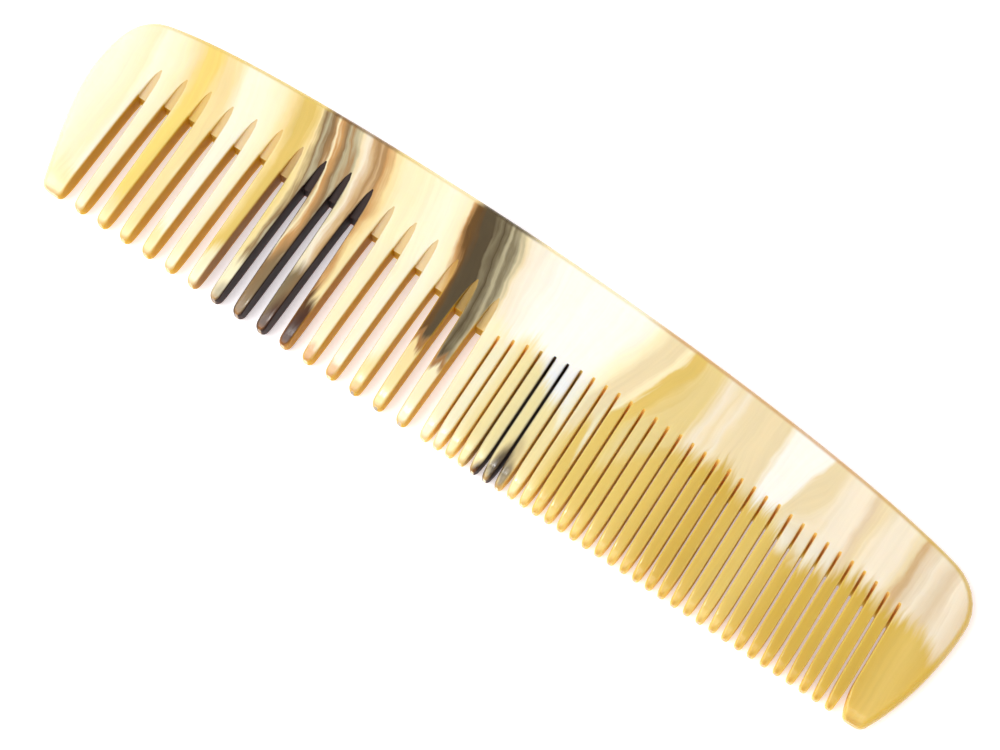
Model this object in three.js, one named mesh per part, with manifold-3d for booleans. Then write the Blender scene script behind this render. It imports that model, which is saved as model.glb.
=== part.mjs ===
// Hair comb sawn from one plate of horn: a coarse row and a fine row of teeth under one arched spine.
// Millimetres, +Z up. +X runs along the comb to the fine end, +Y runs from the tips to the spine.
// The outline functions measure y from the line of the tips; the finished body is centred on the origin.
import * as THREE from "three";
import { mergeVertices } from "three/addons/utils/BufferGeometryUtils.js";
import Module from "manifold-3d";

// Plate
const LENGTH = 180.5;
const HEIGHT = 41;
const THICKNESS = 4.4;
const EDGE_ROUND = 1.3; // width of the rounded band round the whole plate, seen in plan
const EDGE_DROP = 1.5; // how far that band comes down from each face

// Rows of saw cuts, placed by the middle of each cut on the line of the tips
const COARSE_CUTS = 16;
const COARSE_PITCH = 4.9;
const COARSE_START = -78.15;
const FINE_CUTS = 33;
const FINE_PITCH = 2.52;
const FINE_START = -0.95;
const LEAN = 0.0345; // sideways run of every cut towards the coarse end, per unit of depth

// Shape of the cuts
const COARSE_MOUTH = 2.95; // open width of a coarse cut beside the tips
const COARSE_TAPER = 0.36; // power by which a coarse cut opens out from its root
const ROOT_WIDTH = 0.24; // width left at the pointed root of a coarse cut
const KERF = 0.42; // width of a fine cut
const KERF_FLARE = 0.4; // extra half width a fine cut gains towards the tips
const GUARD_FLARE = 1; // further flare of the last fine cut, on the side of the end tooth
const FLARE_LENGTH = 6.5;
const TIP_LENGTH = 1.1; // length of the rounded end of a tooth
const TIP_BLUNT = 0.35; // share of its width that a tooth keeps at the very tip
const GROOVE_LENGTH = 6.2; // past its upright end, a coarse slot goes on as a shallow groove
const GROOVE_DEPTH = 1;
const SAW_RADIUS = 20; // the fine cuts run out on a ramp the shape of the saw disc
const SAW_LIFT = 11; // height of the saw's axle above the upper face

// Thinning of the teeth on both faces, as [distance from the tips, depth taken off each face]
const THINNING = [
  [0, 0.85],
  [3.5, 0.3],
  [10, 0],
];

// Depth of the cuts at the start, the top and the end of each row's arch
const COARSE_ROOTS = { start: 29.5, top: 31.9, end: 27.4, topAt: 0.5 };
const FINE_ROOTS = { start: 22, top: 25.2, end: 21.3, topAt: 0.28 };
const ARCH_FULLNESS = 0.75; // power of the cosine that shapes both sides of an arch

const CLEAR = 1; // overshoot of the cutting bodies past the plate

function plateOutline() {
  const half = LENGTH / 2;
  const leftFoot = -half + 6.5;
  const rightFoot = half - 5.3;
  const leftShoulder = [-half + 6.2, HEIGHT - 3.9];
  const rightShoulder = [half - 7, HEIGHT - 8.6];
  const crest = -18.25;
  const corner = 1.2;
  const shape = new THREE.Shape();
  shape.moveTo(leftFoot + corner, 0);
  shape.quadraticCurveTo(leftFoot, 0, leftFoot - 0.4, corner);
  shape.bezierCurveTo(-half + 3.4, 9, -half, 17, -half, 24.5);
  shape.bezierCurveTo(-half, 31.5, -half + 1.7, 35.7, ...leftShoulder);
  shape.bezierCurveTo(-half + 18.2, HEIGHT - 0.8, crest - 27, HEIGHT, crest, HEIGHT);
  shape.bezierCurveTo(crest + 33, HEIGHT, half - 29, HEIGHT - 3, ...rightShoulder);
  shape.bezierCurveTo(half - 3.7, HEIGHT - 9.5, half, 28.5, half, 23.5);
  shape.bezierCurveTo(half, 15.5, half - 2, 7, rightFoot + 0.4, corner);
  shape.quadraticCurveTo(rightFoot, 0, rightFoot - corner, 0);
  return shape;
}

// Extrudes a shape drawn in (y, z) along X, centred on the origin.
function prismAlongX(shape, length) {
  const geometry = new THREE.ExtrudeGeometry(shape, { depth: length, bevelEnabled: false });
  geometry.translate(0, 0, -length / 2);
  const axes = new THREE.Matrix4().makeBasis(
    new THREE.Vector3(0, 1, 0),
    new THREE.Vector3(0, 0, 1),
    new THREE.Vector3(1, 0, 0),
  );
  return geometry.applyMatrix4(axes);
}

function plateGeometry() {
  const geometry = new THREE.ExtrudeGeometry(plateOutline(), {
    depth: THICKNESS - 2 * EDGE_DROP,
    curveSegments: 9,
    bevelSize: EDGE_ROUND,
    bevelOffset: -EDGE_ROUND,
    bevelThickness: EDGE_DROP,
    bevelSegments: 3,
  });
  return geometry.translate(0, 0, EDGE_DROP);
}

// Side view of the plate with its teeth thinned towards the tips on both faces.
function thinnedGeometry() {
  const thickFrom = THINNING.at(-1)[0] + CLEAR;
  const shape = new THREE.Shape();
  shape.moveTo(HEIGHT + CLEAR, -CLEAR);
  shape.lineTo(HEIGHT + CLEAR, THICKNESS + CLEAR);
  shape.lineTo(thickFrom, THICKNESS + CLEAR);
  for (const [y, depth] of THINNING.toReversed()) {
    shape.lineTo(y, THICKNESS - depth);
  }
  shape.lineTo(-CLEAR, THICKNESS / 2);
  for (const [y, depth] of THINNING) {
    shape.lineTo(y, depth);
  }
  shape.lineTo(thickFrom, -CLEAR);
  return prismAlongX(shape, LENGTH + 2 * CLEAR);
}

// Depth of a cut whose place along its row is share, from 0 to 1.
function rootDepth(roots, share) {
  const rising = share < roots.topAt;
  const low = rising ? roots.start : roots.end;
  const away = rising ? 1 - share / roots.topAt : (share - roots.topAt) / (1 - roots.topAt);
  const rise = Math.max(0, Math.cos((away * Math.PI) / 2));
  return low + (roots.top - low) * rise ** ARCH_FULLNESS;
}

function flare(y, extra) {
  return extra * Math.max(0, 1 - y / FLARE_LENGTH) ** 2;
}

function coarseHalfWidth(y, root) {
  const opened = (COARSE_MOUTH / 2) * ((root - y) / root) ** COARSE_TAPER;
  return Math.max(ROOT_WIDTH / 2, opened);
}

function fineHalfWidth(y) {
  return KERF / 2 + flare(y, KERF_FLARE);
}

// Heights, above the rounded tips, at which the side of a cut gets a point: closest together at the root.
function coarseHeights(root) {
  const steps = 7;
  const depth = root - TIP_LENGTH;
  return Array.from({ length: steps + 1 }, (_, i) => root - depth * (1 - i / steps) ** 2.2);
}

function fineHeights(root) {
  return [TIP_LENGTH, FLARE_LENGTH * 0.45, FLARE_LENGTH, root];
}

// One side of a cut in plan, from its mouth to its root. The mouth rounds the tip of the tooth beside it.
function cutSide(heights, halfWidth, pitch) {
  const toothHalf = pitch / 2 - halfWidth(TIP_LENGTH);
  const side = [[pitch / 2 - TIP_BLUNT * toothHalf, -CLEAR]];
  for (const degrees of [0, 30, 60]) {
    const turn = THREE.MathUtils.degToRad(degrees);
    const kept = TIP_BLUNT + (1 - TIP_BLUNT) * Math.sin(turn);
    side.push([pitch / 2 - kept * toothHalf, TIP_LENGTH * (1 - Math.cos(turn))]);
  }
  for (const y of heights) {
    side.push([halfWidth(y), y]);
  }
  return side;
}

// Plan of one cut, leaning as all the cuts do. guard widens the mouth on the right-hand side only.
function cutOutline(side, guard) {
  const right = side.map(([x, y]) => [x + flare(y, guard), y]);
  const left = side.toReversed().map(([x, y]) => [-x, y]);
  const points = [...right, ...left].map(([x, y]) => new THREE.Vector2(x - LEAN * y, y));
  return new THREE.Shape(points);
}

// Side view of a coarse cut: a slot with an upright end, then a groove that runs out at the root.
function grooveProfile(root) {
  const end = root - GROOVE_LENGTH;
  const shape = new THREE.Shape();
  shape.moveTo(-2 * CLEAR, THICKNESS + CLEAR);
  shape.lineTo(-2 * CLEAR, -CLEAR);
  shape.lineTo(end, -CLEAR);
  shape.lineTo(end, THICKNESS - GROOVE_DEPTH);
  shape.lineTo(root + (CLEAR * GROOVE_LENGTH) / GROOVE_DEPTH, THICKNESS + CLEAR);
  return shape;
}

// Side view of the stretch the saw disc clears: open towards the tips, round at the root.
function sawProfile(root) {
  const axleY = root - Math.sqrt(SAW_RADIUS ** 2 - SAW_LIFT ** 2);
  const axleZ = THICKNESS + SAW_LIFT;
  const steps = 4;
  const shape = new THREE.Shape();
  shape.moveTo(-2 * CLEAR, THICKNESS + CLEAR);
  shape.lineTo(-2 * CLEAR, -CLEAR);
  for (let i = 0; i <= steps; i += 1) {
    const z = -CLEAR + ((THICKNESS + 2 * CLEAR) * i) / steps;
    shape.lineTo(axleY + Math.sqrt(SAW_RADIUS ** 2 - (axleZ - z) ** 2), z);
  }
  return shape;
}

// Plan and side view of one cut, whose common volume is what the saw takes out.
function cutGeometries(outline, profile, pitch) {
  const plan = new THREE.ExtrudeGeometry(outline, { depth: THICKNESS + 2 * CLEAR, bevelEnabled: false });
  plan.translate(0, 0, -CLEAR);
  return [plan, prismAlongX(profile, 2 * pitch + 4)];
}

function toSolid(geometry) {
  geometry.deleteAttribute("normal");
  geometry.deleteAttribute("uv");
  const merged = mergeVertices(geometry, 1e-5);
  return new wasm.Manifold(new wasm.Mesh({
    numProp: 3,
    vertProperties: merged.attributes.position.array,
    triVerts: merged.index.array,
  }));
}

function sawCut(comb, x, outline, profile, pitch) {
  const [plan, swept] = cutGeometries(outline, profile, pitch).map(toSolid);
  return comb.subtract(plan.intersect(swept).translate([x, 0, 0]));
}

function buildComb() {
  let comb = toSolid(plateGeometry()).intersect(toSolid(thinnedGeometry()));
  for (let i = 0; i < COARSE_CUTS; i += 1) {
    const root = rootDepth(COARSE_ROOTS, i / (COARSE_CUTS - 1));
    const side = cutSide(coarseHeights(root), (y) => coarseHalfWidth(y, root), COARSE_PITCH);
    comb = sawCut(comb, COARSE_START + i * COARSE_PITCH, cutOutline(side, 0), grooveProfile(root), COARSE_PITCH);
  }
  for (let i = 0; i < FINE_CUTS; i += 1) {
    const root = rootDepth(FINE_ROOTS, i / (FINE_CUTS - 1));
    const side = cutSide(fineHeights(root), fineHalfWidth, FINE_PITCH);
    const guard = i === FINE_CUTS - 1 ? GUARD_FLARE : 0;
    comb = sawCut(comb, FINE_START + i * FINE_PITCH, cutOutline(side, guard), sawProfile(root), FINE_PITCH);
  }
  return comb.translate([0, -HEIGHT / 2, 0]);
}

function toGeometry(solid) {
  const mesh = solid.getMesh();
  const geometry = new THREE.BufferGeometry();
  geometry.setAttribute("position", new THREE.BufferAttribute(new Float32Array(mesh.vertProperties), 3));
  geometry.setIndex(new THREE.BufferAttribute(new Uint32Array(mesh.triVerts), 1));
  const flat = geometry.toNonIndexed();
  flat.computeVertexNormals();
  return flat;
}

const wasm = await Module();
wasm.setup();

const horn = new THREE.MeshStandardMaterial({ name: "horn", color: 0xe6cf9a, roughness: 0.3, metalness: 0 });
const comb = new THREE.Mesh(toGeometry(buildComb()), horn);
comb.name = "comb";

const part = new THREE.Group();
part.name = "hair_comb";
part.add(comb);

export default part;
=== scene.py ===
import math
from dataclasses import dataclass

import bmesh
import bpy
import numpy as np
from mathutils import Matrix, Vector


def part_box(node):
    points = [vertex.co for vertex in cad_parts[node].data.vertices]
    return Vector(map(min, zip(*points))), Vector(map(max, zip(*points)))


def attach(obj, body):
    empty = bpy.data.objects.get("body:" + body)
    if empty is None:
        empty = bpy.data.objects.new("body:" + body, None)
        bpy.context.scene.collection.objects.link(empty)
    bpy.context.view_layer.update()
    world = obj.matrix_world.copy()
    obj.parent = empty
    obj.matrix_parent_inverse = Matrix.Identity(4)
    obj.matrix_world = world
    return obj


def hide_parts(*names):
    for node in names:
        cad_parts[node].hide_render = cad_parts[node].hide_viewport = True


MM = 0.001

# Shape of the comb in millimetres. Heights up the comb are measured from the line of the tips.
EDGE_ROUND = 1.3  # width of the rounded band round the plate, seen in plan
EDGE_DROP = 1.5  # how far that band comes down from each face
FOOT_CORNER = 1.2  # rounding of the two end teeth at their outer feet
COARSE_CUTS = 16
COARSE_PITCH = 4.9
COARSE_START = -78.15
FINE_CUTS = 33
FINE_PITCH = 2.52
FINE_START = -0.95
LEAN = 0.0345  # sideways run of every cut towards the coarse end, per unit of depth
COARSE_MOUTH = 2.95
COARSE_TAPER = 0.36
ROOT_WIDTH = 0.24
KERF = 0.42
KERF_FLARE = 0.4
GUARD_FLARE = 1.0
FLARE_LENGTH = 6.5
COARSE_ROOTS = {"start": 29.5, "top": 31.9, "end": 27.4, "top_at": 0.5}
FINE_ROOTS = {"start": 22.0, "top": 25.2, "end": 21.3, "top_at": 0.28}
ARCH_FULLNESS = 0.75
COARSE_WANDER = 0.45  # how far the hand-sawn roots stray from their arch
FINE_WANDER = 0.12
GROOVE_LENGTH = 6.2  # past its upright end, a coarse slot goes on as a shallow groove
GROOVE_DEPTH = 1.0
GROOVE_TINT = 0.55  # the grooves take on less of the cut walls' colour, and so less of its painted shade and glow
END_FACE = 0.05  # how far the upright end leans back
SAW_RADIUS = 20.0  # the fine cuts run out on a ramp the shape of the saw disc
SAW_LIFT = 11.0
TIP_LENGTH = 1.1
TIP_BLUNT = 0.35
THIN_LENGTH = 10.0  # the teeth get thinner over this length
TIP_THINNING = 0.6
BEVEL_SLOPE = 0.25  # a flat bevel runs down to the tips on both faces
BEVEL_TURN = 0.3  # softness of the turn from the tooth into its bevel
COARSE_BEVEL = 1.3  # how far from the tips the bevel starts
FINE_BEVEL = 2.1
END_LENGTH = 0.6  # the very end is rounded off
END_DROP = 0.2
TOOTH_EDGE = 0.3  # rounding of the long edges of the teeth
TIP_EDGE = 0.6  # the same at the tips
TIP_EDGE_LENGTH = 3.0  # height over which the one turns into the other
TOOTH_EDGE_LIMIT = 0.85  # the most of a tooth's half width that a rounded edge may take
LOW_EDGE_FADE = 1.5  # the lower edges turn sharp over this length, up to where the sloping floor starts
GUARD_HALF = 3.0  # half width that the rounding of the end teeth reckons with
FOOT_TURN = 5.0  # below this height the rim of an end tooth turns to face sideways
FOOT_ROUND = 0.45  # share of EDGE_ROUND that is left at the feet
FOOT_ROUND_LENGTH = 3.0  # height over which the rim grows to its full width
EDGE_LIMIT = 0.42  # the most of the thickness that each face's rounded rim may take

# Points across each part of the skin
ARC_STEPS = 5
TIP_ROWS = 8
BEVEL_ROWS = 8
BEVEL_TOP = 3.0  # the rows are close together up to this height
SHANK_ROWS = 12
FLOOR_ROWS = 8
SPINE_ROWS = 8
GUARD_COLUMNS = 12
COARSE_COLUMNS = 6
FINE_COLUMNS = 5
CUT_COLUMNS = 3
CURVE_STEPS = 160
SHANK_CROWDING = 1.4  # powers that bring rows closer together at the lower end of a tooth or a groove
GROOVE_CROWDING = 1.5
RAMP_CROWDING = 2  # the rows on a fine cut's floor are closer together at its root
LEAN_ROUNDS = 4  # rounds in which a column finds where it meets the spine

WELD = 0.002  # points closer than this many millimetres become one
SLIVER = 0.001  # and edges shorter than this are taken out
SHARP_ANGLE = 48  # degrees
SEED = 11  # for the wander of the roots


def curve(*controls):
    """Points of a Bezier curve of any degree."""
    t = np.linspace(0, 1, CURVE_STEPS)[:, None]
    degree = len(controls) - 1
    weights = [math.comb(degree, i) * t**i * (1 - t) ** (degree - i) for i in range(degree + 1)]
    return sum(weight * np.array(point, float) for weight, point in zip(weights, controls))


class Outline:
    """The edge of the plate from the left foot, over the spine, to the right foot."""

    def __init__(self, length, height):
        half = length / 2
        left_foot = -half + 6.5
        right_foot = half - 5.3
        left_shoulder = (-half + 6.2, height - 3.9)
        right_shoulder = (half - 7, height - 8.6)
        left_bulge = (-half, 24.5)
        right_bulge = (half, 23.5)
        left_knee = (left_foot - 0.4, FOOT_CORNER)
        right_knee = (right_foot + 0.4, FOOT_CORNER)
        crest = (-18.25, height)
        curves = [
            curve((left_foot + FOOT_CORNER, 0), (left_foot, 0), left_knee),
            curve(left_knee, (-half + 3.4, 9), (-half, 17), left_bulge),
            curve(left_bulge, (-half, 31.5), (-half + 1.7, 35.7), left_shoulder),
            curve(left_shoulder, (-half + 18.2, height - 0.8), (crest[0] - 27, height), crest),
            curve(crest, (crest[0] + 33, height), (half - 29, height - 3), right_shoulder),
            curve(right_shoulder, (half - 3.7, height - 9.5), (half, 28.5), right_bulge),
            curve(right_bulge, (half, 15.5), (half - 2, 7), right_knee),
            curve(right_knee, (right_foot, 0), (right_foot - FOOT_CORNER, 0)),
        ]
        self.points = np.vstack([curves[0]] + [piece[1:] for piece in curves[1:]])
        run = np.gradient(self.points, axis=0)
        inward = np.column_stack([run[:, 1], -run[:, 0]])
        self.inward = inward / np.linalg.norm(inward, axis=1)[:, None]
        steps = np.linalg.norm(np.diff(self.points, axis=0), axis=1)
        self.along = np.concatenate([[0], np.cumsum(steps)])
        self.left_shoulder = self.along[3 * (CURVE_STEPS - 1)]
        self.right_shoulder = self.along[5 * (CURVE_STEPS - 1)]

    def at(self, along):
        """Point and inward direction at a distance along the outline."""
        point = [np.interp(along, self.along, self.points[:, i]) for i in (0, 1)]
        inward = [np.interp(along, self.along, self.inward[:, i]) for i in (0, 1)]
        return np.array(point), np.array(inward)

    def spine_at(self, x):
        """Distance along the outline at which the spine's inner edge stands at x."""
        spine = (self.along >= self.left_shoulder) & (self.along <= self.right_shoulder)
        inner = self.points[spine, 0] + EDGE_ROUND * self.inward[spine, 0]
        return np.interp(x, inner, self.along[spine])

    def left_at(self, y):
        rising = self.along <= self.left_shoulder
        return np.interp(y, self.points[rising, 1], self.along[rising])

    def right_at(self, y):
        falling = self.along >= self.right_shoulder
        return np.interp(y, self.points[falling, 1][::-1], self.along[falling][::-1])


@dataclass
class Cut:
    """One saw cut between two teeth.

    x is its middle on the line of the tips, and root is its depth on the upper face.
    """

    x: float
    pitch: float
    root: float
    coarse: bool
    guard: float = 0.0

    def half_width(self, y):
        if self.coarse:
            left = np.clip((self.root - y) / self.root, 0, None)
            return np.maximum(ROOT_WIDTH / 2, COARSE_MOUTH / 2 * left**COARSE_TAPER)
        return KERF / 2 + KERF_FLARE * np.clip(1 - y / FLARE_LENGTH, 0, None) ** 2

    def edge(self, y, side):
        """x of the cut's edge at height y, on its left (-1) or its right (+1)."""
        tooth_half = self.pitch / 2 - self.half_width(TIP_LENGTH)
        turn = np.sqrt(1 - np.clip(1 - y / TIP_LENGTH, 0, 1) ** 2)
        kept = TIP_BLUNT + (1 - TIP_BLUNT) * turn
        open_half = np.where(y < TIP_LENGTH, self.pitch / 2 - kept * tooth_half, self.half_width(y))
        if side > 0:
            open_half = open_half + self.guard * np.clip(1 - y / FLARE_LENGTH, 0, None) ** 2
        return self.x + side * open_half - LEAN * y

    def run(self, thickness):
        """Length of the sloping floor between the open part of the cut and its root."""
        if self.coarse:
            return GROOVE_LENGTH
        far = math.sqrt(SAW_RADIUS**2 - SAW_LIFT**2)
        return far - math.sqrt(SAW_RADIUS**2 - (SAW_LIFT + thickness) ** 2)

    def floor(self, y, thickness):
        """Height of that floor: a shallow groove past a coarse slot, the saw disc's arc in a fine cut."""
        if self.coarse:
            return thickness - GROOVE_DEPTH * (self.root - y) / GROOVE_LENGTH
        axle = self.root - math.sqrt(SAW_RADIUS**2 - SAW_LIFT**2)
        return thickness + SAW_LIFT - np.sqrt(SAW_RADIUS**2 - (y - axle) ** 2)

    def rows(self, thickness):
        """Heights of the rows of points beside the cut: rounded tip, bevel, tooth, then sloping floor."""
        run = self.run(thickness)
        through = self.root - run
        turn = np.linspace(0, math.pi / 2, TIP_ROWS + 1)
        tip = TIP_LENGTH * (1 - np.cos(turn))
        bevel = np.linspace(TIP_LENGTH, BEVEL_TOP, BEVEL_ROWS + 1)[1:]
        shank_share = np.linspace(0, 1, SHANK_ROWS + 1)[1:] ** SHANK_CROWDING
        shank = BEVEL_TOP + (through - BEVEL_TOP) * shank_share
        if self.coarse:
            left = 1 - np.linspace(0, 1, FLOOR_ROWS) ** GROOVE_CROWDING
            sloping = self.root - (run - END_FACE) * left
        else:
            left = (1 - np.linspace(0, 1, FLOOR_ROWS + 1)[1:]) ** RAMP_CROWDING
            sloping = self.root - run * left
        return np.concatenate([tip, bevel, shank, sloping])


def root_depth(roots, share):
    """Depth of a cut whose place along its row is share, from 0 to 1."""
    rising = share < roots["top_at"]
    low = roots["start"] if rising else roots["end"]
    span = roots["top_at"] if rising else 1 - roots["top_at"]
    away = abs(share - roots["top_at"]) / span
    return low + (roots["top"] - low) * max(0, math.cos(away * math.pi / 2)) ** ARCH_FULLNESS


def make_cuts():
    """Every saw cut, from the coarse end to the fine end."""
    wander = np.random.default_rng(SEED)
    cuts = []
    for i in range(COARSE_CUTS):
        root = root_depth(COARSE_ROOTS, i / (COARSE_CUTS - 1)) + wander.uniform(-1, 1) * COARSE_WANDER
        cuts.append(Cut(COARSE_START + i * COARSE_PITCH, COARSE_PITCH, root, True))
    for i in range(FINE_CUTS):
        root = root_depth(FINE_ROOTS, i / (FINE_CUTS - 1)) + wander.uniform(-1, 1) * FINE_WANDER
        cuts.append(Cut(FINE_START + i * FINE_PITCH, FINE_PITCH, root, False))
    cuts[-1].guard = GUARD_FLARE
    return cuts


def face_drop(y, bevel):
    """How far either face of a tooth lies below the plate's at height y."""
    thinned = TIP_THINNING * np.clip(1 - y / THIN_LENGTH, 0, None) ** 3
    short = bevel - y
    bevelled = BEVEL_SLOPE * (np.sqrt(short**2 + BEVEL_TURN**2) + short) / 2
    fade = np.clip((THIN_LENGTH - y) / THIN_LENGTH, 0, 1)
    near_end = np.clip(1 - y / END_LENGTH, 0, 1)
    return thinned + bevelled * fade + END_DROP * (1 - np.sqrt(1 - near_end**2))


def profile(inset_top, inset_low, top, low):
    """Round-over from the upper to the lower face, row by row: distances in from the edge, and heights.

    Each inset is a pair: how far the rounding comes down the wall, and how far it reaches into the face.
    """
    turn = np.linspace(0, math.pi / 2, ARC_STEPS + 1)
    room = (top - low) / 2
    drop_top = np.minimum(inset_top[0], room)[:, None]
    drop_low = np.minimum(inset_low[0], room)[:, None]
    in_top = inset_top[1][:, None] * (1 - np.sin(turn))
    in_low = inset_low[1][:, None] * (1 - np.sin(turn))
    z_top = top[:, None] - drop_top * (1 - np.cos(turn))
    z_low = low[:, None] + drop_low * (1 - np.cos(turn))
    return np.hstack([in_top, in_low[:, ::-1]]), np.hstack([z_top, z_low[:, ::-1]])


def profile_share():
    """0 on both faces and 1 on the wall between them, for each point of a profile."""
    arc = np.linspace(0, 1, ARC_STEPS + 1)
    return np.concatenate([arc, arc[::-1]])


class Skin:
    """Collects grids of points as quads, with how far each corner is on a cut wall and on the outer rim."""

    def __init__(self):
        self.points = []
        self.faces = []
        self.cut = []
        self.rim = []

    def grid(self, points, cut=0.0, rim=0.0):
        rows, columns = points.shape[:2]
        cut = np.broadcast_to(cut, (rows, columns)).ravel()
        rim = np.broadcast_to(rim, (rows, columns)).ravel()
        start = len(self.points)
        self.points.extend(points.reshape(-1, 3))
        for row in range(rows - 1):
            for column in range(columns - 1):
                corner = row * columns + column
                quad = [corner, corner + 1, corner + columns + 1, corner + columns]
                self.faces.append([start + i for i in quad])
                self.cut.extend(cut[quad])
                self.rim.extend(rim[quad])

    def cap(self, loop):
        """One flat face over a closed loop of points, such as the very end of a tooth."""
        start = len(self.points)
        self.points.extend(loop)
        self.faces.append(list(range(start, start + len(loop))))
        self.cut.extend([0.0] * len(loop))
        self.rim.extend([END_RIM] * len(loop))

    def to_object(self, name, shift):
        """Welds the grids into one closed mesh, in metres."""
        mesh = bpy.data.meshes.new(name)
        mesh.from_pydata((np.array(self.points) + shift) * MM, [], self.faces)
        for layer, values in (("cut", self.cut), ("rim", self.rim)):
            mesh.attributes.new(layer, "FLOAT", "CORNER").data.foreach_set("value", values)
        body = bmesh.new()
        body.from_mesh(mesh)
        bmesh.ops.remove_doubles(body, verts=body.verts, dist=WELD * MM)
        bmesh.ops.dissolve_degenerate(body, edges=body.edges, dist=SLIVER * MM)
        bmesh.ops.recalc_face_normals(body, faces=body.faces)
        body.to_mesh(mesh)
        body.free()
        mesh.shade_smooth()
        mesh.set_sharp_from_angle(angle=math.radians(SHARP_ANGLE))
        made = bpy.data.objects.new(name, mesh)
        bpy.context.scene.collection.objects.link(made)
        made.modifiers.new("even_shading", "WEIGHTED_NORMAL").keep_sharp = True
        return made


def between(start, end, steps):
    """Points from start to end, in steps equal parts, along a new second axis."""
    share = np.linspace(0, 1, steps + 1)[None, :, None]
    return start[:, None] * (1 - share) + end[:, None] * share


def blend_patch(left, right, bottom, top):
    """Fills a four-sided region from its edges: left and right go up, bottom and top go across."""
    u = np.linspace(0, 1, len(bottom))[None, :, None]
    v = np.linspace(0, 1, len(left))[:, None, None]
    across = left[:, None] * (1 - u) + right[:, None] * u
    upwards = bottom[None] * (1 - v) + top[None] * v
    low = bottom[0] * (1 - u) + bottom[-1] * u
    high = top[0] * (1 - u) + top[-1] * u
    return across + upwards - (low * (1 - v) + high * v)


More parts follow.
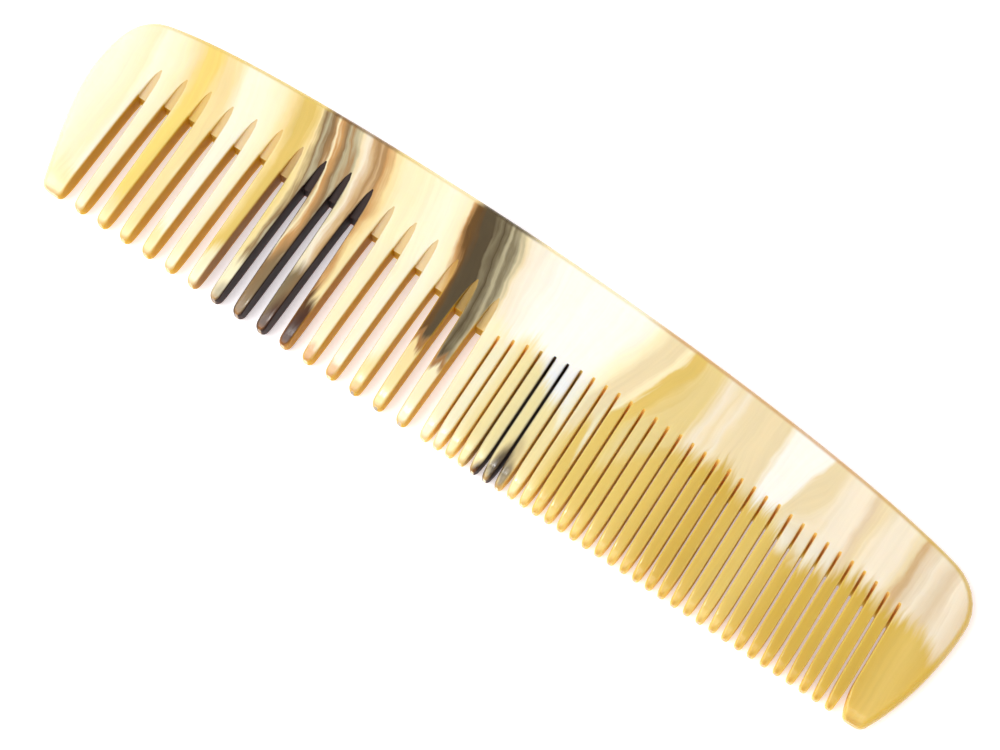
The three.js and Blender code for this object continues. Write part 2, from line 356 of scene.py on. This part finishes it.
class CombSkin:
    """Builds the comb's skin tooth by tooth and cut by cut."""

    def __init__(self, size):
        self.length, self.height, self.thickness = size
        self.outline = Outline(self.length, self.height)
        self.cuts = make_cuts()
        self.skin = Skin()
        self.share = profile_share()

    # Walls

    def faces_at(self, y, bevel):
        drop = face_drop(y, bevel)
        return self.thickness - drop, drop

    def tooth_insets(self, cut, y, half_tooth):
        """Rounding of a tooth's upper and lower edges beside a cut, row by row."""
        near_tip = np.clip(1 - y / TIP_EDGE_LENGTH, 0, None) ** 2
        edge = TOOTH_EDGE + (TIP_EDGE - TOOTH_EDGE) * near_tip
        inset = np.minimum(edge, TOOTH_EDGE_LIMIT * half_tooth)
        through = y[-1 - FLOOR_ROWS]
        floor = np.where(y > through, cut.floor(y, self.thickness), 0)
        top = np.minimum(inset, (self.thickness - floor) / 2)
        low = inset * np.clip((through - y) / LOW_EDGE_FADE, 0, 1)
        return top, low

    def wall_share(self, cut, rows):
        """How far each point of a wall is on the cut itself. The sides of a groove count for less."""
        share = np.tile(self.share, (rows, 1))
        if cut.coarse:
            share[1 - FLOOR_ROWS :] *= GROOVE_TINT
        return share

    def wall(self, cut, side, half_tooth, bevel):
        """The wall of a tooth beside a cut: its grid of points, and its edges on both faces."""
        y = cut.rows(self.thickness)
        top, low = self.faces_at(y, bevel)
        in_top, in_low = self.tooth_insets(cut, y, half_tooth)
        low = low.copy()
        low[-FLOOR_ROWS:] = cut.floor(y[-FLOOR_ROWS:], self.thickness)
        insets, z = profile((in_top, in_top), (in_low, in_low), top, low)
        x = cut.edge(y, side)[:, None] + side * insets
        points = np.dstack([x, np.broadcast_to(y[:, None], x.shape), z])
        lower_edge = np.column_stack([cut.edge(y, side) + side * in_low, y])
        return points, points[:, 0, :2], lower_edge

    # Faces

    def column_to_spine(self, start):
        """Plan of a line of points from start up to the spine's inner edge, leaning as the cuts do."""
        x = start[0]
        for _ in range(LEAN_ROUNDS):
            along = self.outline.spine_at(x)
            point, inward = self.outline.at(along)
            end = point + EDGE_ROUND * inward
            x = start[0] - LEAN * (end[1] - start[1])
        share = np.linspace(0, 1, SPINE_ROWS + 1)[1:, None]
        return start + share * (end - start), along

    def raise_plan(self, plan, bevel, upper):
        top, low = self.faces_at(plan[..., 1], bevel)
        return np.dstack([plan, top if upper else low])

    def extend_to_spine(self, plan):
        columns = [self.column_to_spine(start)[0] for start in plan[-1]]
        return np.concatenate([plan, np.stack(columns, axis=1)])

    def spine_stations(self, starts):
        return [self.column_to_spine(start)[1] for start in starts]

    # Pieces

    def tooth(self, left, right, columns, bevel):
        """A tooth between two cuts, with the body above it. Returns its stations along the spine."""
        rows = left.rows(self.thickness)
        width = right.edge(right.rows(self.thickness), -1) - left.edge(rows, 1)
        left_wall, left_top, left_low = self.wall(left, 1, width / 2, bevel)
        right_wall, right_top, right_low = self.wall(right, -1, width / 2, bevel)
        upper = self.extend_to_spine(between(left_top, right_top, columns))
        lower = self.extend_to_spine(between(left_low, right_low, columns))
        top = self.raise_plan(upper, bevel, True)
        low = self.raise_plan(lower, bevel, False)
        for grid in (top, low):
            self.skin.grid(grid)
        for wall, cut in ((left_wall, left), (right_wall, right)):
            self.skin.grid(wall, cut=self.wall_share(cut, len(rows)))
        self.skin.cap([*left_wall[0], *low[0][1:-1], *right_wall[0][::-1], *top[0][1:-1][::-1]])
        return self.spine_stations(upper[len(rows) - 1])

    def cut_patch(self, cut):
        """What closes one cut: its floor and the body above it. Returns its stations along the spine."""
        y = cut.rows(self.thickness)
        left = np.column_stack([cut.edge(y, -1), y])
        right = np.column_stack([cut.edge(y, 1), y])
        plan = between(left, right, CUT_COLUMNS)
        root = len(y) - 1
        through = root - FLOOR_ROWS
        height = cut.floor(plan[through:, :, 1], self.thickness)
        height[0] = 0
        height[-1] = self.thickness
        floor = np.dstack([plan[through:], height])
        self.skin.grid(floor[:2], cut=1.0)
        self.skin.grid(floor[1:], cut=GROOVE_TINT if cut.coarse else 1.0)
        upper = self.extend_to_spine(plan[root:])
        lower = self.extend_to_spine(plan[through:])
        self.skin.grid(self.raise_plan(upper, FINE_BEVEL, True))
        self.skin.grid(self.raise_plan(lower, FINE_BEVEL, False))
        return self.spine_stations(upper[0])

    def rim_rings(self, stations, bevel):
        """Round-over of the plate's outer edge at each station, and the inner edge of its plan."""
        points, inward = self.outline.at(np.array(stations))
        points, inward = points.T, inward.T
        y = points[:, 1]
        foot = np.clip(y / FOOT_TURN, 0, 1)[:, None]
        sideways = np.column_stack([np.where(points[:, 0] < 0, 1.0, -1.0), np.zeros(len(y))])
        inward = inward * foot + sideways * (1 - foot)
        inward /= np.linalg.norm(inward, axis=1)[:, None]
        grown = np.sqrt(np.clip(y / FOOT_ROUND_LENGTH, 0, 1))
        inset = EDGE_ROUND * (FOOT_ROUND + (1 - FOOT_ROUND) * grown)
        top, low = self.faces_at(y + inset * inward[:, 1], bevel)
        drop = np.minimum(EDGE_DROP, EDGE_LIMIT * (top - low))
        insets, z = profile((drop, inset), (drop, inset), top, low)
        plan = points[:, None] + insets[..., None] * inward[:, None]
        return np.dstack([plan, z]), plan[:, 0]

    def guard(self, cut, side, shoulder):
        """The wide tooth at one end, left (-1) or right (+1). Returns its stations along the outline."""
        y = cut.rows(self.thickness)
        outer_at = self.outline.left_at if side < 0 else self.outline.right_at
        beside = [float(outer_at(height)) for height in y]
        above = list(np.linspace(beside[-1], shoulder, SPINE_ROWS + 1)[1:])
        outer = beside + above
        rings, outer_edge = self.rim_rings(outer, FINE_BEVEL)
        wide = np.full(len(y), GUARD_HALF)
        wall, wall_top, wall_low = self.wall(cut, side, wide, FINE_BEVEL)
        faces = []
        for edge, upper in ((wall_top, True), (wall_low, False)):
            inner_up, spine_end = self.column_to_spine(edge[-1])
            inner = np.concatenate([edge, inner_up])
            stations = np.linspace(shoulder, spine_end, GUARD_COLUMNS + 1)
            point, inward = self.outline.at(stations)
            top_edge = (point + EDGE_ROUND * inward).T
            foot = between(outer_edge[:1], inner[:1], GUARD_COLUMNS)[0]
            plan = blend_patch(outer_edge, inner, foot, top_edge)
            faces.append(self.raise_plan(plan, FINE_BEVEL, upper))
        top, low = faces
        self.skin.grid(top)
        self.skin.grid(low)
        self.skin.grid(wall, cut=self.wall_share(cut, len(y)))
        self.skin.cap([*rings[0], *low[0][1:-1], *wall[0][::-1], *top[0][1:-1][::-1]])
        return outer, list(stations)

    def build(self):
        first, last = self.cuts[0], self.cuts[-1]
        left_side, stations = self.guard(first, -1, self.outline.left_shoulder)
        for cut, following in zip(self.cuts, self.cuts[1:] + [None]):
            stations += self.cut_patch(cut)[1:]
            if following:
                coarse = cut.coarse and following.coarse
                columns = COARSE_COLUMNS if coarse else FINE_COLUMNS
                bevel = COARSE_BEVEL if coarse else FINE_BEVEL
                stations += self.tooth(cut, following, columns, bevel)[1:]
        right_side, right_stations = self.guard(last, 1, self.outline.right_shoulder)
        around = left_side[:-1] + stations + right_stations[::-1][1:] + right_side[::-1][1:]
        rings, _ = self.rim_rings(around, FINE_BEVEL)
        self.skin.grid(rings, rim=self.share)
        return self.skin


# Colours of the horn, and where they lie along the comb: (x in millimetres, colour).
# The streaks in the spine are placed at STREAK_HEIGHT, and the others where they cross the teeth.
IVORY = "#fffbe2"
CREAM = "#fdf3cc"
STRAW = "#fae6ac"
BUTTER = "#fadf82"
HONEY = "#e8cb72"
GOLD = "#d8b650"
CARAMEL = "#d4a468"
TAN = "#b48e5e"
TAUPE = "#94764e"
BARK = "#74501f"
SLATE = "#5c4e34"
ASH = "#8a7e60"
MIST = "#c4ba98"
PEARL = "#f7edd6"
ROSE = "#e6d2b0"
UMBER = "#4e2a1a"
INK = "#2a120a"
SAND = "#f0e0b6"
BISCUIT = "#d9b888"
WHEAT = "#ecd796"
RUSSET = "#a8743a"
AMBER = "#cc9e14"
RESIN = "#ecc66c"
MILK = "#fffdf3"

STREAK_HEIGHT = 34.5
SPINE_STREAKS = [
    (-89, IVORY),
    (-84, CREAM),
    (-82, IVORY),
    (-77.5, CREAM),
    (-75.8, STRAW),
    (-74.2, BUTTER),
    (-72, BUTTER),
    (-70.5, STRAW),
    (-68, STRAW),
    (-65.5, IVORY),
    (-61.5, IVORY),
    (-58, CREAM),
    (-56, STRAW),
    (-54, HONEY),
    (-51.5, HONEY),
    (-49.6, STRAW),
    (-48.6, TAUPE),
    (-47.5, MIST),
    (-46.7, TAUPE),
    (-45.9, TAN),
    (-45.1, CREAM),
    (-44.4, CARAMEL),
    (-43.7, TAN),
    (-43, TAUPE),
    (-42.4, MIST),
    (-41.8, TAN),
    (-41, MIST),
    (-40.3, SAND),
    (-39.2, PEARL),
    (-38.2, BISCUIT),
    (-37.4, TAN),
    (-36.6, BISCUIT),
    (-35.8, TAN),
    (-35, CARAMEL),
    (-33.6, STRAW),
    (-31, CREAM),
    (-28, CREAM),
    (-22, IVORY),
    (-18.6, CREAM),
    (-17.6, CARAMEL),
    (-16.6, BARK),
    (-15, SLATE),
    (-12.6, SLATE),
    (-11.6, ASH),
    (-10.6, SLATE),
    (-9.9, ASH),
    (-9.1, MIST),
    (-8.3, ASH),
    (-7.2, MIST),
    (-6.4, SAND),
    (-5.4, PEARL),
    (1, MILK),
    (16, MILK),
    (18.5, IVORY),
    (20.3, CREAM),
    (21.6, SAND),
    (24.8, SAND),
    (26, CREAM),
    (26.7, HONEY),
    (28.6, HONEY),
    (30.4, WHEAT),
    (33.4, WHEAT),
    (34.6, SAND),
    (36, PEARL),
    (37.4, SAND),
    (39, PEARL),
    (40.4, SAND),
    (47.5, SAND),
    (49.2, MILK),
    (56.2, MILK),
    (57.4, SAND),
    (60, SAND),
    (62.5, PEARL),
    (66.2, PEARL),
    (67.6, ROSE),
    (69, SAND),
    (71.5, PEARL),
    (75, PEARL),
    (76.6, SAND),
    (77.4, BISCUIT),
    (78.4, ROSE),
    (81, PEARL),
    (83.5, ROSE),
    (86, PEARL),
    (90, ROSE),
]
TOOTH_STREAKS = [
    (-84, CREAM),
    (-79, STRAW),
    (-76, CREAM),
    (-71, STRAW),
    (-62, STRAW),
    (-56, CREAM),
    (-48, CREAM),
    (-45, CREAM),
    (-43.4, TAUPE),
    (-38, ASH),
    (-35.5, TAUPE),
    (-34, BARK),
    (-30.5, UMBER),
    (-29, IVORY),
    (-22, IVORY),
    (-18, STRAW),
    (-11, STRAW),
    (-8, CREAM),
    (1, CREAM),
    (3, STRAW),
    (9, STRAW),
    (16, STRAW),
    (19, HONEY),
    (24, HONEY),
    (30, HONEY),
    (44, GOLD),
    (54, HONEY),
    (62, GOLD),
    (79, GOLD),
    (84, HONEY),
    (90, GOLD),
]
# Height at which the spine's streaks give way to the colours of the teeth.
MELT_HEIGHTS = [
    (-90, 5),
    (-60, 6),
    (-46, 9),
    (-42, 13),
    (-33, 12),
    (-30, 6),
    (-28, 3),
    (-20, 4),
    (-16.5, 8),
    (-13, 14),
    (-9, 12.5),
    (-6, 12),
    (-4.8, 25),
    (-2, 24),
    (0, 22),
    (3, 25),
    (8, 22),
    (10, 19),
    (14, 17),
    (16, 13),
    (19.5, 19),
    (21, 10),
    (25, 13),
    (29, 17),
    (34, 22.5),
    (43, 24.5),
    (47, 22),
    (53, 22),
    (58, 17.5),
    (66, 18.5),
    (71, 21),
    (77, 19),
    (84, 19.5),
    (90, 15.5),
]
# How strongly a warm brown fringes the lower end of a dark band.
FRINGE = [
    (-15.2, 0),
    (-14, 0.9),
    (-6.5, 0.9),
    (-5, 0),
]
# Colours of the sawn walls along the comb: partly the horn's own colour seen edge-on, partly painted shade
# (the dark walls deep in the slots) and partly a painted glow of light passing through the horn (the golden
# walls).
WALL_COLOUR_SHADE_AND_GLOW = [
    (-52, AMBER),
    (-50, RUSSET),
    (-47.8, BARK),
    (-45.5, INK),
    (-34, INK),
    (-32, RUSSET),
    (-29, AMBER),
    (-5, AMBER),
    (-3, RESIN),
    (5, RESIN),
    (7.5, BARK),
    (8.5, INK),
    (11.5, INK),
    (12.5, BARK),
    (14, RESIN),
]
# Where even the shallow grooves take the walls' full colour and are as dark as the walls: partly dark horn,
# partly painted shade.
DARK_GROOVE_STRETCH = [
    (-47, 0),
    (-45.5, 1),
    (-34, 1),
    (-32, 0),
]
# Colours of the rounded outer edge: partly the horn's deeper colour seen through its thickness, partly
# painted shade along the rounded edge.
RIM_COLOUR_AND_SHADE = [
    (-88, CREAM),
    (-78, HONEY),
    (-51, HONEY),
    (-49, BARK),
    (-37, TAUPE),
    (-34, HONEY),
    (-28, STRAW),
    (-19, STRAW),
    (-17, SLATE),
    (-8, SLATE),
    (-4, STRAW),
    (16, CREAM),
    (22, CARAMEL),
    (60, CARAMEL),
    (80, GOLD),
]
# Sideways run of the fibres, to the left going up, per unit of height.
FIBRE_LEAN = [
    (-90, 0.3),
    (-48, 0.33),
    (-20, 0.24),
    (-5, 0.2),
    (8, 0),
    (18, -0.25),
    (28, -0.25),
    (33, -0.03),
    (48, 0),
    (56, -0.3),
    (61, -0.05),
    (90, -0.03),
]
# How much more the fibres lean for each unit of height above STREAK_HEIGHT.
FIBRE_BEND = [
    (-90, 0.0105),
    (-30, 0.0105),
    (-18, 0),
    (5, 0),
    (15, 0.0105),
    (28, 0.0105),
    (33, 0),
    (50, 0),
    (56, 0.02),
    (61, 0),
]
BEND_REACH = -13.0  # below this height, counted from STREAK_HEIGHT, the fibres run straight down
# Smoky stains: middle, half sizes, colour, strength.
STAINS = [
    ((8.7, 0.2), (1.2, 2.4), INK, 1.0),
    ((11.2, 3.0), (1.5, 4.5), INK, 0.9),
    ((13.0, 2.6), (0.9, 3.0), INK, 0.7),
    ((12.0, 6.5), (1.6, 3.5), ASH, 0.4),
    ((-45.8, 1.0), (1.6, 3.0), ASH, 0.7),
    ((-36.0, 1.0), (2.0, 6.0), UMBER, 0.8),
    ((-31.0, 1.0), (2.0, 7.0), UMBER, 0.9),
    ((-26.8, 0.5), (1.6, 3.0), CARAMEL, 0.9),
    ((-22.0, 0.5), (1.6, 2.4), CARAMEL, 0.8),
    ((-17.0, 0.2), (1.6, 2.0), CARAMEL, 0.5),
]
CUT_ROUGHNESS = 0.4  # the sawn walls are duller than the polished faces
# How much of the rim's colour, painted shade included, covers the round-over.
RIM_TINT = 0.75
RIM_FADE = 0.3  # share of the round-over in which the rim's colour comes in
END_RIM = 0.5  # the flat ends of the teeth count as rim
END_TINT = 0.5  # the ends of the teeth are darker
END_FADE = 1.2  # over this height
FIGURE_SLANT = 0.5  # sideways run of the figure through the thickness
BRIGHTNESS = 0.95  # the colours above are as they look under the bright light
RAMP_STOPS = 30  # a colour ramp holds no more than 32

# Noises in the figure: how fine each is along X, Y and Z, per millimetre
CLOUD_SCALE = (0.09, 0.06, 0.1)
SWIRL_SCALE = (0.4, 0.1, 0.2)
FIBRE_SCALE = (1.2, 0.045, 0.5)
HAIR_SCALE = (5.0, 0.1, 1.0)
SWIRL_SHIFT = (7, 3, 1)  # keeps the noises from lining up
HAIR_SHIFT = (2, 9, 4)
NOISE_LOW = 0.3  # most of a noise's values lie between these two
NOISE_HIGH = 0.7
CLOUD_REACH = 4.0  # how far in millimetres each noise moves the streaks, from side to side
SWIRL_REACH = 2.4
FIBRE_REACH = 1.8
CLOUD_SHADE = 0.05  # and how much it darkens the colour
FIBRE_SHADE = 0.06
HAIR_SHADE = 0.025
MELT_RAGGED = 8.0  # how far the fibres pull the lower ends of the streaks up and down
MELT_SOFTNESS = 2.2  # half the height over which the streaks fade there
STAIN_RAGGED = 1.0
STAIN_START = 1.25  # a stain comes in from here to STAIN_FULL, in its half sizes from its middle
STAIN_FULL = 0.45

POLISH = (0.13, 0.22)  # roughness of the faces, from fibre to fibre
BUMP_STRENGTH = 0.12
BUMP_DEPTH = 0.1  # millimetres
HORN_IOR = 1.54
HORN_SPECULAR = 0.25
SUBSURFACE_WEIGHT = 0.85
SUBSURFACE_RADIUS = (1.0, 0.85, 0.6)
SUBSURFACE_REACH = 3  # millimetres


def linear(colour):
    """An RGBA colour for a shader from a #rrggbb string."""
    parts = [int(colour[i : i + 2], 16) / 255 for i in (1, 3, 5)]
    return [c / 12.92 if c <= 0.04045 else ((c + 0.055) / 1.055) ** 2.4 for c in parts] + [1.0]


class Graph:
    """Adds nodes to a material, one call each, and returns their outputs."""

    def __init__(self, name):
        self.material = bpy.data.materials.new(name)
        self.material.use_nodes = True
        self.tree = self.material.node_tree
        self.surface = self.tree.nodes["Principled BSDF"]

    def feed(self, socket, value):
        if isinstance(value, bpy.types.NodeSocket):
            self.tree.links.new(value, socket)
        else:
            socket.default_value = value

    def node(self, kind, inputs, **settings):
        made = self.tree.nodes.new(kind)
        for name, value in settings.items():
            setattr(made, name, value)
        for socket, value in inputs.items():
            self.feed(made.inputs[socket], value)
        return made

    def math(self, operation, a, b=0.0, clamp=False):
        return self.node("ShaderNodeMath", {0: a, 1: b}, operation=operation, use_clamp=clamp).outputs[0]

    def scaled(self, vector, factors, offset=(0, 0, 0)):
        inputs = {0: vector, 1: factors, 2: offset}
        return self.node("ShaderNodeVectorMath", inputs, operation="MULTIPLY_ADD").outputs[0]

    def noise(self, vector, detail=3.0):
        inputs = {"Vector": vector, "Scale": 1.0, "Detail": detail, "Roughness": 0.5}
        return self.node("ShaderNodeTexNoise", inputs).outputs[0]

    def centred(self, texture, reach):
        """A 0 to 1 texture as a number from -reach / 2 to reach / 2."""
        return self.math("MULTIPLY", self.math("SUBTRACT", texture, 0.5), reach)

    def spread(self, value, low, high, to_low=0.0, to_high=1.0, smooth=True):
        inputs = {"Value": value, "From Min": low, "From Max": high, "To Min": to_low, "To Max": to_high}
        kind = "SMOOTHSTEP" if smooth else "LINEAR"
        return self.node("ShaderNodeMapRange", inputs, interpolation_type=kind).outputs[0]

    def mix(self, factor, a, b, blend="MIX"):
        inputs = {"Factor": factor, 6: a, 7: b}
        return self.node("ShaderNodeMix", inputs, data_type="RGBA", blend_type=blend).outputs[2]

    def attribute(self, name):
        return self.node("ShaderNodeAttribute", {}, attribute_name=name).outputs["Fac"]

    def one_ramp(self, x, stops):
        """Colours by x, from at most RAMP_STOPS stops of (x, RGBA)."""
        start, end = stops[0][0], stops[-1][0]
        place = self.spread(x, start, end, smooth=False)
        made = self.node("ShaderNodeValToRGB", {0: place})
        elements = made.color_ramp.elements
        elements.remove(elements[1])
        elements[0].position = 0.0
        elements[0].color = stops[0][1]
        for at, colour in stops[1:]:
            elements.new((at - start) / (end - start)).color = colour
        return made.outputs[0]

    def table(self, x, stops):
        """Colours by x from any number of stops."""
        result = self.one_ramp(x, stops[:RAMP_STOPS])
        for first in range(RAMP_STOPS - 1, len(stops) - 1, RAMP_STOPS - 1):
            part = stops[first : first + RAMP_STOPS]
            beyond = self.math("GREATER_THAN", x, part[0][0])
            result = self.mix(beyond, result, self.one_ramp(x, part))
        return result

    def colours(self, x, stops):
        return self.table(x, [(at, linear(colour)) for at, colour in stops])

    def values(self, x, points):
        """Numbers by x: a grey ramp, stretched to the range of the numbers."""
        low = min(value for _, value in points)
        high = max(value for _, value in points)
        greys = [(at, [(value - low) / (high - low)] * 3 + [1.0]) for at, value in points]
        grey = self.table(x, greys)
        return self.spread(grey, 0.0, 1.0, low, high, smooth=False)


def horn_colour(graph, position, x, y, face):
    """The figure of the horn: streaks along the fibres, tooth colours below them, and smoky stains."""
    cloud = graph.noise(graph.scaled(position, CLOUD_SCALE), 4.0)
    climb = graph.math("MAXIMUM", graph.math("SUBTRACT", y, STREAK_HEIGHT), BEND_REACH)
    run = graph.math("MULTIPLY", graph.values(x, FIBRE_BEND), climb)
    run = graph.math("MULTIPLY", graph.math("ADD", run, graph.values(x, FIBRE_LEAN)), climb)
    along = graph.math("ADD", graph.math("ADD", x, run), graph.centred(cloud, CLOUD_REACH))
    fibres = graph.node("ShaderNodeCombineXYZ", {0: along, 1: y, 2: face}).outputs[0]
    swirl = graph.noise(graph.scaled(fibres, SWIRL_SCALE, SWIRL_SHIFT))
    fibre = graph.noise(graph.scaled(fibres, FIBRE_SCALE))
    hair = graph.noise(graph.scaled(fibres, HAIR_SCALE, HAIR_SHIFT), 2.0)
    for texture, reach in ((swirl, SWIRL_REACH), (fibre, FIBRE_REACH)):
        along = graph.math("ADD", along, graph.centred(texture, reach))
    along = graph.math("ADD", along, graph.math("MULTIPLY", face, FIGURE_SLANT))
    streaks = graph.colours(along, SPINE_STREAKS)

    melt = graph.values(x, MELT_HEIGHTS)
    ragged = graph.centred(fibre, MELT_RAGGED)
    above = graph.math("ADD", graph.math("SUBTRACT", y, melt), ragged)
    share = graph.spread(above, -MELT_SOFTNESS, MELT_SOFTNESS)
    teeth = graph.colours(x, TOOTH_STREAKS)
    colour = graph.mix(share, teeth, streaks)
    fringe = graph.math("MULTIPLY", share, graph.math("SUBTRACT", 1.0, share))
    fringe = graph.math("MULTIPLY", graph.math("MULTIPLY", fringe, 4.0), graph.values(x, FRINGE))
    colour = graph.mix(fringe, colour, linear(RUSSET))

    for middle, half, stain, strength in STAINS:
        shift = (-middle[0] / half[0], -middle[1] / half[1], 0)
        place = graph.scaled(position, (1 / half[0], 1 / half[1], 0), shift)
        reach = graph.node("ShaderNodeVectorMath", {0: place}, operation="LENGTH").outputs["Value"]
        reach = graph.math("ADD", reach, graph.centred(swirl, STAIN_RAGGED))
        inside = graph.spread(reach, STAIN_START, STAIN_FULL, 0.0, strength)
        colour = graph.mix(inside, colour, linear(stain))

    for texture, shading in ((cloud, CLOUD_SHADE), (fibre, FIBRE_SHADE), (hair, HAIR_SHADE)):
        shade = graph.spread(texture, NOISE_LOW, NOISE_HIGH, 1 - shading, 1.0, smooth=False)
        colour = graph.mix(1.0, colour, shade, "MULTIPLY")
    return colour, fibre, hair


def horn_material(size):
    graph = Graph("horn")
    coordinates = graph.node("ShaderNodeTexCoord", {}).outputs["Object"]
    position = graph.scaled(coordinates, (1 / MM,) * 3, (0, size[1] / 2, 0))
    split = graph.node("ShaderNodeSeparateXYZ", {0: position}).outputs
    x, y = split[0], split[1]
    face = graph.math("SUBTRACT", split[2], size[2])
    colour, fibre, hair = horn_colour(graph, position, x, y, face)

    cut = graph.attribute("cut")
    end = graph.spread(y, END_FADE, 0.0, 0.0, END_TINT)
    colour = graph.mix(end, colour, linear(RUSSET))
    # The rounded rim and the flat ends of the teeth take the rim colours: the horn's deeper edge colour
    # with painted shade.
    rim = graph.spread(graph.attribute("rim"), 0.0, RIM_FADE, 0.0, RIM_TINT)
    colour = graph.mix(rim, colour, graph.colours(x, RIM_COLOUR_AND_SHADE))
    colour = graph.mix(1.0, colour, (BRIGHTNESS,) * 3 + (1,), "MULTIPLY")
    # Sawn walls, and in the dark middle stretch the grooves as well, take the wall colours, which hold
    # painted shade and a painted glow beside the horn's edge-on colour.
    groove_darkening = graph.math("MULTIPLY", graph.values(x, DARK_GROOVE_STRETCH), 1 / GROOVE_TINT - 1)
    cut = graph.math("MULTIPLY", cut, graph.math("ADD", groove_darkening, 1.0), clamp=True)
    colour = graph.mix(cut, colour, graph.colours(x, WALL_COLOUR_SHADE_AND_GLOW))

    rough = graph.spread(fibre, NOISE_LOW, NOISE_HIGH, *POLISH, smooth=False)
    rough = graph.math("ADD", rough, graph.math("MULTIPLY", cut, CUT_ROUGHNESS))
    relief = {"Strength": BUMP_STRENGTH, "Distance": BUMP_DEPTH * MM, "Height": hair}
    bump = graph.node("ShaderNodeBump", relief).outputs[0]
    for socket, value in (("Base Color", colour), ("Roughness", rough), ("Normal", bump)):
        graph.feed(graph.surface.inputs[socket], value)
    graph.surface.inputs["IOR"].default_value = HORN_IOR
    graph.surface.inputs["Specular IOR Level"].default_value = HORN_SPECULAR
    graph.surface.inputs["Subsurface Weight"].default_value = SUBSURFACE_WEIGHT
    graph.surface.inputs["Subsurface Radius"].default_value = SUBSURFACE_RADIUS
    graph.surface.inputs["Subsurface Scale"].default_value = SUBSURFACE_REACH * MM
    return graph.material


# The camera looks down on the comb, which lies turned in the picture. Angles are in degrees.
CAMERA_TILT = 18.2  # from straight down
CAMERA_TURN = 34.55
CAMERA_DISTANCE = 407  # millimetres
CAMERA_LENS = 86.4
SENSOR_WIDTH = 36
AIM_OFFSET = Vector((2.34, -4.15, 0))  # millimetres, from the middle of the upper face
FLOOR_SIZE = 2.4  # metres
FLOOR_GREY = 0.9
FLOOR_ROUGHNESS = 0.6
FLOOR_GLOW = (1.0, 0.9, 0.93)  # a faint glow, which keeps the shadows between the teeth pale
FLOOR_GLOW_STRENGTH = 0.4
SKY = (1.0, 0.98, 0.98)
SKY_STRENGTH = 0.62
# Soft boxes: where each stands in metres, its size, its power, and whether it does more than glint.
SOFT_BOXES = {
    "key": ((-0.5, -0.6, 1.3), 1.0, 18, True),
    "glint": ((-0.24, 0.0, 1.18), 0.05, 2.0, False),
}


def into_scene(name, data):
    made = bpy.data.objects.new(name, data)
    bpy.context.scene.collection.objects.link(made)
    return made


def place_camera(middle):
    data = bpy.data.cameras.new("camera")
    data.lens = CAMERA_LENS
    data.sensor_width = SENSOR_WIDTH
    camera = into_scene("camera", data)
    camera.rotation_euler = (math.radians(CAMERA_TILT), 0, math.radians(CAMERA_TURN))
    back = camera.rotation_euler.to_matrix() @ Vector((0, 0, CAMERA_DISTANCE))
    camera.location = middle + (AIM_OFFSET + back) * MM
    bpy.context.scene.camera = camera


def lay_floor(height):
    half = FLOOR_SIZE / 2
    corners = [(-half, -half, height), (half, -half, height), (half, half, height), (-half, half, height)]
    mesh = bpy.data.meshes.new("floor")
    mesh.from_pydata(corners, [], [(0, 1, 2, 3)])
    graph = Graph("pale_table")
    graph.surface.inputs["Base Color"].default_value = (FLOOR_GREY, FLOOR_GREY, FLOOR_GREY, 1)
    graph.surface.inputs["Roughness"].default_value = FLOOR_ROUGHNESS
    graph.surface.inputs["Emission Color"].default_value = (*FLOOR_GLOW, 1)
    graph.surface.inputs["Emission Strength"].default_value = FLOOR_GLOW_STRENGTH
    mesh.materials.append(graph.material)
    into_scene("floor", mesh)


def light_studio():
    world = bpy.data.worlds.new("studio")
    world.use_nodes = True
    sky = world.node_tree.nodes["Background"].inputs
    sky["Color"].default_value = (*SKY, 1)
    sky["Strength"].default_value = SKY_STRENGTH
    bpy.context.scene.world = world
    for name, (place, size, power, lights) in SOFT_BOXES.items():
        data = bpy.data.lights.new(name, "AREA")
        data.energy = power
        data.size = size
        box = into_scene(name, data)
        box.location = place
        box.rotation_euler = Vector(place).to_track_quat("Z", "Y").to_euler()
        box.visible_diffuse = lights


def make_comb(low, high):
    size = tuple((high - low) / MM)
    skin = CombSkin(size).build()
    comb = skin.to_object("comb_skin", np.array([0, low.y / MM, low.z / MM]))
    comb.data.materials.append(horn_material(size))
    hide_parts("comb")
    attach(comb, "root")


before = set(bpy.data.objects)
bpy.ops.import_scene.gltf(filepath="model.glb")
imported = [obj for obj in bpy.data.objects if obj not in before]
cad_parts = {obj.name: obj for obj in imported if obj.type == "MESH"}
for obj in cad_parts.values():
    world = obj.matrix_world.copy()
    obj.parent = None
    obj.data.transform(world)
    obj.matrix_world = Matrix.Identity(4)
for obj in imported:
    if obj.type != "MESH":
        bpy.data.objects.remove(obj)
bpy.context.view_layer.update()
low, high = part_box("comb")
make_comb(low, high)
place_camera(Vector(((low.x + high.x) / 2, (low.y + high.y) / 2, high.z)))
lay_floor(low.z)
light_studio()
bpy.context.scene.view_settings.view_transform = "Standard"
